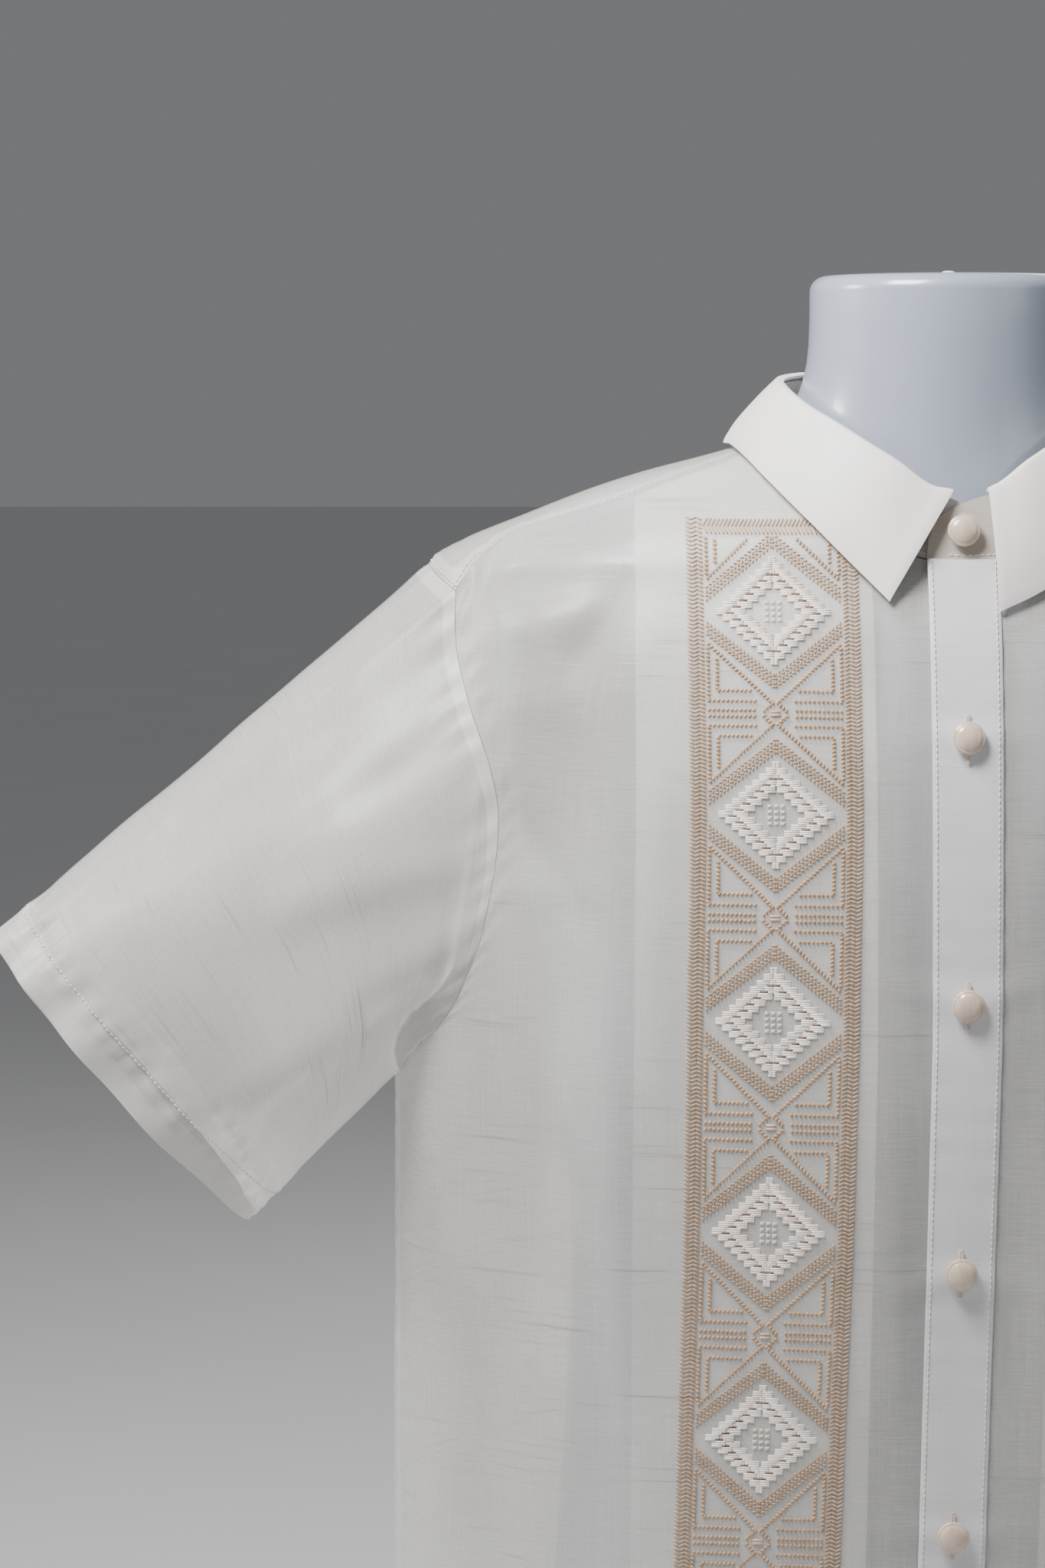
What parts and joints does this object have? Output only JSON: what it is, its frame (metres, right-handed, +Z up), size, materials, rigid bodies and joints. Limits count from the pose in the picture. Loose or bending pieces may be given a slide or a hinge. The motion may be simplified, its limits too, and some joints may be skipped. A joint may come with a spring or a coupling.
{
  "type": "barong tagalog shirt on a torso dress form",
  "caption": "Short-sleeved sheer formal shirt with pointed collar, front band, shank buttons and embroidered front strips, filled out on a limbless torso form that stands on its flat foot.",
  "frame": {"origin": "middle of the torso form's flat foot, on the floor", "axes": "+Z up, the shirt's front faces -Y, the wearer's left is +X"},
  "size_m": [0.8566, 0.2461, 0.8874],
  "materials": {
    "sheer_cloth": "sheer slubbed organza with a soft lustre",
    "backing_cloth": "plain thin backing cloth",
    "collar_cloth": "smooth close cloth, faced and firm",
    "button_shell": "glossy cream-beige domes",
    "form_gloss": "glossy pale blue-white shell",
    "pin_white": "plain pale stud"
  },
  "bodies": {
    "root": {"front_right": "sheer_cloth", "front_left": "sheer_cloth", "back": "sheer_cloth", "yoke": "sheer_cloth", "sleeve_right": "sheer_cloth", "sleeve_left": "sheer_cloth", "facing_right": "backing_cloth", "facing_left": "backing_cloth", "front_band": "collar_cloth", "collar_stand": "collar_cloth", "collar_leaf": "collar_cloth", "button_collar": "button_shell", "button_1": "button_shell", "button_2": "button_shell", "button_3": "button_shell", "button_4": "button_shell", "button_5": "button_shell", "button_6": "button_shell", "form_torso": "form_gloss", "form_pin": "pin_white"}
  },
  "joints": []
}
